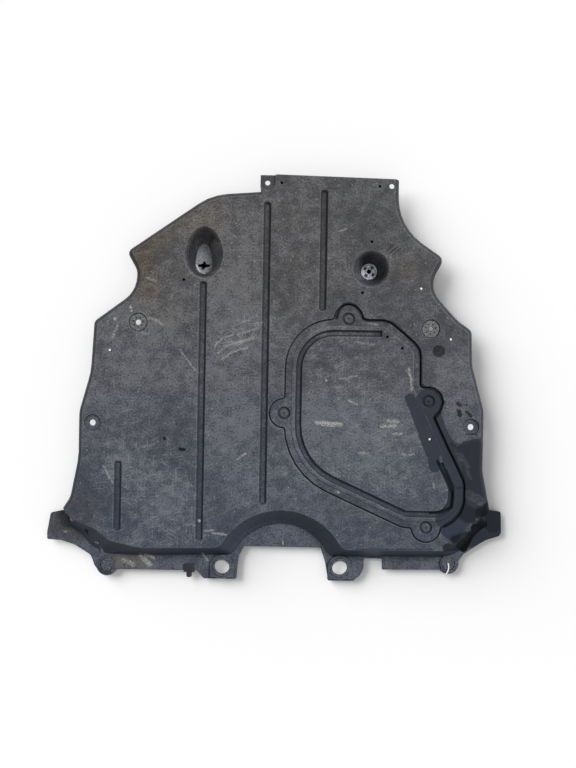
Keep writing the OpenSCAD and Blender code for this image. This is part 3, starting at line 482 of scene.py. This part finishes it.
def scratch_haze(tree, place, ragged, noise):
    """How strong the haze of fine scratches is, from 0 to 1."""
    haze = 0.0
    for turn, shift in STREAK_LAYERS:
        turned = add(tree, "ShaderNodeMapping", {"Vector": place, "Location": (shift, shift, shift),
                                                 "Rotation": (0, 0, math.radians(turn)),
                                                 "Scale": STREAK_SIZE}, vector_type="TEXTURE")
        streak = add(tree, NOISE, {"Vector": turned, "Scale": 1.0, "Detail": 1.0})
        line = add(tree, RANGE, {"Value": streak, "From Min": 0.6, "From Max": 0.72})
        haze = add(tree, MATH, {0: haze, 1: line}, operation="MAXIMUM")
    crowded = add(tree, RANGE, {"Value": strokes(tree, ragged, SCRATCHED), "To Min": 0.22, "To Max": 0.85})
    bunched = add(tree, RANGE, {"Value": noise["blotches"], "From Min": 0.4, "From Max": 0.62, "To Min": 0.2})
    share = add(tree, MATH, {0: crowded, 1: bunched}, operation="MULTIPLY")
    return add(tree, MATH, {0: haze, 1: share}, operation="MULTIPLY")


print("layers of streaks:", len(STREAK_LAYERS))

# %% [markdown]
# Rubbed edges are found with a Bevel node: where its rounded normal leaves the true one, there is an edge,
# so they follow the solid's own shape without any painting. The rounded normal also softens how the edges
# catch the light. The listed scrapes are broken up by grit, and cell noise scatters pale specks of stuck
# grit.

# %% Rubbed edges, scrapes and specks
EDGE_RADIUS = 2.6 * MM
SPECK_SPACING = 15 * MM


def worn_colour(tree, colour, rounded, ragged, noise, haze, high, left, part):
    """The colour with rubbed edges, scratch haze and scrapes laid over it."""
    true = add(tree, "ShaderNodeNewGeometry", out="Normal")
    edge = add(tree, VECTOR, {0: rounded, 1: true}, out="Value", operation="DOT_PRODUCT")
    edge = add(tree, RANGE, {"Value": edge, "From Min": 0.999, "From Max": 0.96, "To Max": 0.42})
    edge = add(tree, MATH, {0: edge, 1: high}, operation="MULTIPLY")
    fibre = add(tree, RANGE, {"Value": noise["grit"], "From Min": 0.4, "From Max": 0.6, "To Min": 0.35,
                              "To Max": 1.15})
    pale = strokes(tree, ragged, split_marks(PALE_SCRAPES)[part])
    scrape = add(tree, MATH, {0: pale, 1: fibre}, operation="MULTIPLY", use_clamp=True)
    worn = add(tree, MATH, {0: haze, 1: edge}, operation="MAXIMUM")
    worn = add(tree, MATH, {0: worn, 1: left}, operation="MULTIPLY", use_clamp=True)
    return lay(tree, scrape, lay(tree, worn, colour, "rubbed"), "scrape")


def specked_colour(tree, colour, place, high, left):
    """The colour with pale specks on the road face."""
    specks = add(tree, "ShaderNodeTexVoronoi", {"Vector": place, "Scale": 1 / SPECK_SPACING}, out="Distance")
    specks = add(tree, RANGE, {"Value": specks, "From Min": 0.12, "From Max": 0.07, "To Max": 0.4})
    specks = add(tree, MATH, {0: specks, 1: left}, operation="MULTIPLY")
    specks = add(tree, MATH, {0: specks, 1: high}, operation="MULTIPLY")
    return lay(tree, specks, colour, "scrape")


print("rubbed edges are about", EDGE_RADIUS / MM, "mm wide")

# %% [markdown]
# An Ambient Occlusion node finds where faces shade each other, and the colour is darkened there towards near
# black as painted shade, along with some grime. Painted shadow and shade lie along the cover's gap and
# groove, grime in the damp corner, and stains and painted shade in the listed marks. Dust and grime are matt:
# dust takes the gloss off the plastic, and thick grime and thick painted shade reflect hardly at all.

# %% Grime and painted shade
NOOK_REACH = 7 * MM


def stain_and_shade_mask(tree, spot, ragged, part):
    """How thick the grime and the painted shade are, from 0 to 1."""
    open_sky = add(tree, "ShaderNodeAmbientOcclusion", {"Distance": NOOK_REACH}, out="AO", samples=4)
    # Darker where faces shade each other, as painted shade
    nook_shade = add(tree, RANGE, {"Value": open_sky, "From Min": 0.85, "From Max": 0.35, "To Max": 0.45})
    listed = strokes(tree, spot, split_marks(DARK_MARKS)[part] + GAP_SHADE)
    stain_and_shade = add(tree, MATH, {0: listed, 1: nook_shade}, operation="MAXIMUM")
    if part == PANEL:
        stain_and_shade = add(tree, MATH, {0: stain_and_shade, 1: strokes(tree, ragged, DAMP)}, operation="MAXIMUM")
    return stain_and_shade


print("dark marks on panel and cover:", [len(part) for part in split_marks(DARK_MARKS)])

# %% [markdown]
# The layers now come together from the inside out: plastic, dust and silt with its painted light, wear,
# specks, grime and painted shade. The plastic has the IOR of polypropylene, 1.49, and its roughness goes from
# a soft gloss to the matt of dust.

# %% Road-worn polypropylene
def worn_polypropylene(name, part):
    """The plastic of the panel or of the cover, whichever part says."""
    material, tree = new_material(name)
    place, spot, facing, noise, ragged = surface_inputs(tree)
    film, high = dust_film(tree, ragged, spot["Z"], facing["Z"], noise, part == PANEL)
    left = left_by_water(tree, ragged, part)
    film = add(tree, MATH, {0: film, 1: left}, operation="MULTIPLY", use_clamp=True)
    colour = dusty_colour(tree, spot, facing, ragged, noise, film)
    if part == PANEL:
        colour = lay(tree, strokes(tree, spot, TORN_EDGE), colour, "bare")
    haze = add(tree, MATH, {0: scratch_haze(tree, place, ragged, noise), 1: high}, operation="MULTIPLY")
    rounded = add(tree, "ShaderNodeBevel", {"Radius": EDGE_RADIUS}, samples=4)
    colour = worn_colour(tree, colour, rounded, ragged, noise, haze, high, left, part)
    colour = specked_colour(tree, colour, place, high, left)
    stain_and_shade = stain_and_shade_mask(tree, spot, ragged, part)
    # Grime and painted shade, in one near-black colour
    colour = lay(tree, stain_and_shade, colour, "grime_and_shade")
    rough = add(tree, RANGE, {"Value": film, "To Min": 0.5, "To Max": 0.9})
    reflection = add(tree, RANGE, {"Value": stain_and_shade, "From Min": 0.5, "To Min": 0.2, "To Max": 0.03})
    grain = add(tree, "ShaderNodeBump", {"Height": noise["grit"], "Strength": 0.35, "Distance": 0.3 * MM,
                                         "Normal": rounded})
    shader = add(tree, "ShaderNodeBsdfPrincipled", {"Base Color": colour, "Roughness": rough, "Normal": grain,
                                                    "IOR": 1.49, "Specular IOR Level": reflection})
    add(tree, "ShaderNodeOutputMaterial", {"Surface": shader})
    return material


panel_plastic = worn_polypropylene("talc-filled polypropylene, moulded, panel", PANEL)
cover_plastic = worn_polypropylene("talc-filled polypropylene, moulded, cover", COVER)
print("panel material nodes:", len(panel_plastic.node_tree.nodes))

# %% [markdown]
# ## Nylon, steel and mud
# Push rivets, screws and the clip are black nylon, moulded, with a soft gloss and a little grey dirt, and
# the cable tie's end is natural nylon, extruded. The cup's washer and the retainers are zinc-plated steel,
# pressed: bright, but dulled by road film. The two seat washers are dusty polypropylene, and one of them
# holds dried mud. Dirt is one noise mask that drives colour and roughness together, and the metal too where
# there is one, as real dirt covers all of them at once. Each finish could have nodes of its own, but one
# function with a few values keeps their dirt alike.

# %% A finish under dirt
# Black for grime, and for painted shade in the cup washer's holes
BLACK_GRIME_AND_SHADE = "#08090b"


def dirty_finish(name, base, dirt, roughness, amount, grain_mm, metal=False, washed=(), grime_and_shade=()):
    """A finish under dirt, with strokes where it is washed off and strokes of black, which are grime and
    painted shade.
    Real dirt is mostly finer than 1 mm. It is drawn at 2 to 5 mm, because one pixel covers 2 mm."""
    material, tree = new_material(name)
    place = add(tree, "ShaderNodeTexCoord", out="Object")
    spot = split(tree, place)
    spots = add(tree, NOISE, {"Vector": place, "Scale": 1 / (grain_mm * MM), "Detail": 4.0, "Roughness": 0.7})
    mask = add(tree, RANGE, {"Value": spots, "From Min": 0.4, "From Max": 0.6, "To Max": amount})
    if washed:
        clean = strokes(tree, spot, washed)
        mask = add(tree, MATH, {0: mask, 1: clean}, operation="SUBTRACT", use_clamp=True)
    colour = lay(tree, mask, linear(base), linear(dirt))
    if grime_and_shade:
        black = strokes(tree, spot, grime_and_shade)
        colour = lay(tree, black, colour, linear(BLACK_GRIME_AND_SHADE))
        mask = add(tree, MATH, {0: mask, 1: black}, operation="MAXIMUM")
    rough = add(tree, RANGE, {"Value": mask, "To Min": roughness, "To Max": 0.9})
    bump = add(tree, "ShaderNodeBump", {"Height": spots, "Strength": 0.3, "Distance": 0.2 * MM})
    inputs = {"Base Color": colour, "Roughness": rough, "Normal": bump}
    if metal:
        inputs["Metallic"] = add(tree, RANGE, {"Value": mask, "To Min": 1.0, "To Max": 0.0})
    add(tree, "ShaderNodeOutputMaterial", {"Surface": add(tree, "ShaderNodeBsdfPrincipled", inputs)})
    return material


print("black grime in linear light:", [round(c, 4) for c in linear(BLACK_GRIME_AND_SHADE)[:3]])

# %% Strokes on the fasteners
# The screw in the washed corner has lost its dust and is a little stained
SCREW_X, SCREW_Y, SCREW_SPOT = 304.5, -41, 10
WASHED_SCREW = [(SCREW_X, SCREW_Y, SCREW_X, SCREW_Y, SCREW_SPOT, 3, 1)]
STAINED_SCREW = [(SCREW_X, SCREW_Y, SCREW_X, SCREW_Y, SCREW_SPOT, 3, 0.4)]
# Painted shade: the cup washer's four holes are painted black
CUP_X, CUP_Y, HOLE_RING, HOLE_SPOT = 185, 223, 10.3, 3


def filled_hole(turn_deg):
    """A round stroke over the hole at this turn round the washer's centre."""
    x = CUP_X + HOLE_RING * math.cos(math.radians(turn_deg))
    y = CUP_Y + HOLE_RING * math.sin(math.radians(turn_deg))
    return (x, y, x, y, HOLE_SPOT, 0.8, 1)


WASHER_HOLES = [filled_hole(turn_deg) for turn_deg in (52, 142, 232, 322)]
print("grime-filled holes:", len(WASHER_HOLES))

# %% Small finishes
# Near black with a soft gloss, under patches of pale grey dirt
black_nylon = dirty_finish("nylon, moulded, black", "#20232a", "#747988", 0.4, 0.75, 3)
# The same plastic with darker dirt, so that the clip stands out black
clip_nylon = dirty_finish("nylon, moulded, black, edge clip", "#15171b", "#3c3f46", 0.4, 0.6, 3)
# The screws are nearly as grey and as matt as the dusty cover round them
dusty_nylon = dirty_finish("nylon, moulded, black under dust", "#2c2e34", "#64666c", 0.6, 0.85, 3,
                           washed=WASHED_SCREW, grime_and_shade=STAINED_SCREW)
# Dull bluish metal with grey road film, which turns it matt in patches
zinc_steel = dirty_finish("zinc-plated steel, pressed", "#d3d6e2", "#7d808b", 0.5, 0.8, 4, metal=True)
# The cup's washer is less covered, and shines at the bottom of its dark cup
cup_steel = dirty_finish("zinc-plated steel, pressed, cup washer", "#e2e5f2", "#8d909d", 0.5, 0.7, 4,
                         metal=True, grime_and_shade=WASHER_HOLES)
# Creamy white and nearly clean, with a soft gloss
tie_nylon = dirty_finish("nylon, extruded, natural", "#f2f1ec", "#c9c6bc", 0.4, 0.2, 2)
# Mid grey and matt, thick with dust
washer_plastic = dirty_finish("polypropylene, moulded, dusty washer", "#4e4f53", "#7a7a7b", 0.7, 0.9, 5)
# Warm grey, with no gloss at all
dry_mud = dirty_finish("dried mud", "#82807d", "#a5a29d", 0.95, 0.6, 2)
print("screw material nodes:", len(dusty_nylon.node_tree.nodes))

# %% [markdown]
# A solid that is right as it is keeps its mesh and only gets a better material, in its own slots.

# %% Finishes on the solids
FINISH = {"shield_panel": panel_plastic, "access_cover": cover_plastic, "cover_screws": dusty_nylon,
          "screw_retainers": zinc_steel, "seat_washers": washer_plastic, "cup_washer": cup_steel,
          "push_rivets": black_nylon, "rivet_pin": black_nylon, "edge_clip": clip_nylon,
          "tie_strip": tie_nylon}
for node_name, finish in FINISH.items():
    slots = nodes[node_name].data.materials
    if not slots:
        slots.append(finish)
    for i in range(len(slots)):
        slots[i] = finish
print("finished nodes:", len(FINISH))

# %% [markdown]
# ## Mud in the right seat
# The right seat washer's hole is blocked by a plug of dried mud. It could be sculpted, but at this size a
# small lumpy dome is enough: rings of points whose height and radius wander a little.

# %% Mud plug
def lumpy_dome(name, centre, radius, height, material, seed):
    """A closed dome that rides on the shield, its points moved by up to 12% across and 20% in height."""
    rng = random.Random(seed)
    mesh = bmesh.new()
    rings, sides = 4, 14
    loops = []
    for i in range(rings):
        tilt = math.pi / 2 * i / rings
        ring = []
        for j in range(sides):
            turn = 2 * math.pi * j / sides
            reach = radius * math.cos(tilt) * (1 + rng.uniform(-0.12, 0.12))
            rise = height * math.sin(tilt) * (1 + rng.uniform(-0.2, 0.2))
            x = centre[0] + reach * math.cos(turn)
            y = centre[1] + reach * math.sin(turn)
            ring.append(mesh.verts.new((x, y, centre[2] + rise)))
        loops.append(ring)
    top = mesh.verts.new((centre[0], centre[1], centre[2] + height))
    for j in range(sides):
        k = (j + 1) % sides
        for lower, upper in zip(loops, loops[1:]):
            mesh.faces.new((lower[j], lower[k], upper[k], upper[j]))
        mesh.faces.new((loops[-1][j], loops[-1][k], top))
    mesh.faces.new(list(reversed(loops[0])))
    data = bpy.data.meshes.new(name)
    mesh.to_mesh(data)
    mesh.free()
    data.materials.append(material)
    data.shade_smooth()
    piece = bpy.data.objects.new(name, data)
    bpy.context.scene.collection.objects.link(piece)
    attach(piece, "root")
    return piece


# The washer's hole has a radius of 5.5 mm. The mud starts 1.8 mm down in it and ends just above its top.
PLUG_X, PLUG_Y, PLUG_RADIUS = 306.5 * MM, 105 * MM, 5.3 * MM
PLUG_DEPTH, PLUG_RISE = 1.8 * MM, 2.2 * MM
washer_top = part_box("seat_washers")[1].z
plug_foot = (PLUG_X, PLUG_Y, washer_top - PLUG_DEPTH)
mud_plug = lumpy_dome("mud_plug", plug_foot, PLUG_RADIUS, PLUG_RISE, dry_mud, seed=4)
print("mud plug faces:", len(mud_plug.data.polygons))

# %% [markdown]
# ## Floor
# A pale studio floor reads as white and still carries the object's soft shadow. Stronger lamps could make it
# white too, but they would wash out the part. So it is a plain diffuse paint with a little extra brightness
# that only the camera and reflections see. Under the through holes the floor gets painted light, spots that
# glow pale in the part's shadow, and under the two deep cups it gets painted shade, nearly black.

# %% Floor spots
# Each hole over a spot of painted light has its x, y and radius in millimetres, and how bright the floor
# shows in it
HOLES_OVER_WHITE = [
    (-279, 108.5, 7, 0.35), (-367, -94, 7, 0.1), (390.5, -90, 7, 0.84), (286.5, 185.5, 5, 1),
    (347.5, 85, 5, 1), (-335, 52, 5, 0.4), (308.5, -115.5, 5, 1), (-105, -384, 18, 0.3),
    (134.5, -382, 18, 0.45),
]
# Each cup over a spot of painted shade has its x, y and radius in millimetres
CUPS_OVER_DARK = [(-153.5, 230, 24), (185, 223, 28)]
WHITE_SOFT, DARK_SOFT = 3, 4
# The camera stands nearly over the middle, so it sees the floor a little further out than the hole, by the
# share of the part's height in the camera's
SPREAD = 1 + ROAD_Z / CAMERA_HEIGHT


def floor_spot(x, y, radius, soft, strength):
    """A round stroke on the floor, where the camera sees it through a hole at x and y."""
    return (x * SPREAD, y * SPREAD, x * SPREAD, y * SPREAD, radius, soft, strength)


print("floor spots:", len(HOLES_OVER_WHITE), "white,", len(CUPS_OVER_DARK), "dark")

# %% Floor
# The floor lies a hair below the part, so that no face of one lies in a face of the other
FLOOR_SIZE, FLOOR_DROP = 8, 0.2 * MM
bpy.ops.mesh.primitive_plane_add(size=FLOOR_SIZE, location=(0, 0, -FLOOR_DROP))
floor = bpy.context.object
floor.name = "floor"
floor_paint, tree = new_material("studio floor, painted")
spot = split(tree, add(tree, "ShaderNodeTexCoord", out="Object"))
painted_light_spots = strokes(tree, spot, [floor_spot(x, y, radius, WHITE_SOFT, share)
                                   for x, y, radius, share in HOLES_OVER_WHITE])
painted_shade_spots = strokes(tree, spot, [floor_spot(x, y, radius, DARK_SOFT, 1) for x, y, radius in CUPS_OVER_DARK])
path = tree.nodes.new("ShaderNodeLightPath").outputs
seen = add(tree, MATH, {0: path["Is Camera Ray"], 1: path["Is Glossy Ray"]}, operation="MAXIMUM")
seen = add(tree, MATH, {0: seen, 1: path["Is Transmission Ray"]}, operation="MAXIMUM")
# A faint glow lifts the paint towards white, and a stronger one is painted light that keeps the spots pale
# under the part
shine = add(tree, RANGE, {"Value": painted_light_spots, "To Min": 0.03, "To Max": 0.8})
shine = add(tree, MATH, {0: shine, 1: painted_shade_spots}, operation="SUBTRACT", use_clamp=True)
shine = add(tree, MATH, {0: shine, 1: seen}, operation="MULTIPLY")
# Off-white matt paint, which keeps the soft shadow, and painted shade, nearly black, under the cups
ground = lay(tree, painted_shade_spots, linear("#f4f4f4"), linear("#08080a"))
paint = add(tree, "ShaderNodeBsdfDiffuse", {"Color": ground})
glow = add(tree, "ShaderNodeEmission", {"Color": linear("#ffffff"), "Strength": shine})
add(tree, "ShaderNodeOutputMaterial", {"Surface": add(tree, "ShaderNodeAddShader", {0: paint, 1: glow})})
floor.data.materials.append(floor_paint)
print("floor size in metres:", FLOOR_SIZE)

# %% [markdown]
# ## Light
# Two soft lamps and a pale sky light the scene. The lamp for the part stands beyond the narrow edge and to
# the right, about 40 degrees up, which darkens the recess walls that face away from it. The lamp for the
# floor stands at the upper left, about 24 degrees up and 50 degrees wide, because the shadow at the lower
# right is long and soft. Light linking keeps each lamp to its own things.

# %% Lamps and sky
SKY_STRENGTH = 0.45
world = bpy.data.worlds.new("sky")
bpy.context.scene.world = world
world.use_nodes = True
world.node_tree.nodes["Background"].inputs["Color"].default_value = linear("#ffffff")
world.node_tree.nodes["Background"].inputs["Strength"].default_value = SKY_STRENGTH


def soft_sun(name, from_point, strength, spread_deg, receivers):
    """A sun lamp that shines from the direction of a point and lights only its receivers."""
    lamp = bpy.data.lights.new(name, "SUN")
    lamp.energy = strength
    lamp.angle = math.radians(spread_deg)
    holder = bpy.data.objects.new(name, lamp)
    holder.rotation_euler = Vector(from_point).to_track_quat("Z", "Y").to_euler()
    bpy.context.scene.collection.objects.link(holder)
    lit = bpy.data.collections.new(name + " receivers")
    for receiver in receivers:
        lit.objects.link(receiver)
    holder.light_linking.receiver_collection = lit
    return holder


key = soft_sun("key lamp", from_point=(0.7, 0.75, 0.9), strength=2.6, spread_deg=20,
               receivers=list(nodes.values()) + [mud_plug])
floor_lamp = soft_sun("floor lamp", from_point=(-0.82, 0.58, 0.44), strength=4.9, spread_deg=50,
                      receivers=[floor])
print("lamps:", key.name, "and", floor_lamp.name)

# %% [markdown]
# ## Colour management
# Standard view shows a colour as it is written.

# %% Finish
bpy.context.scene.view_settings.view_transform = "Standard"
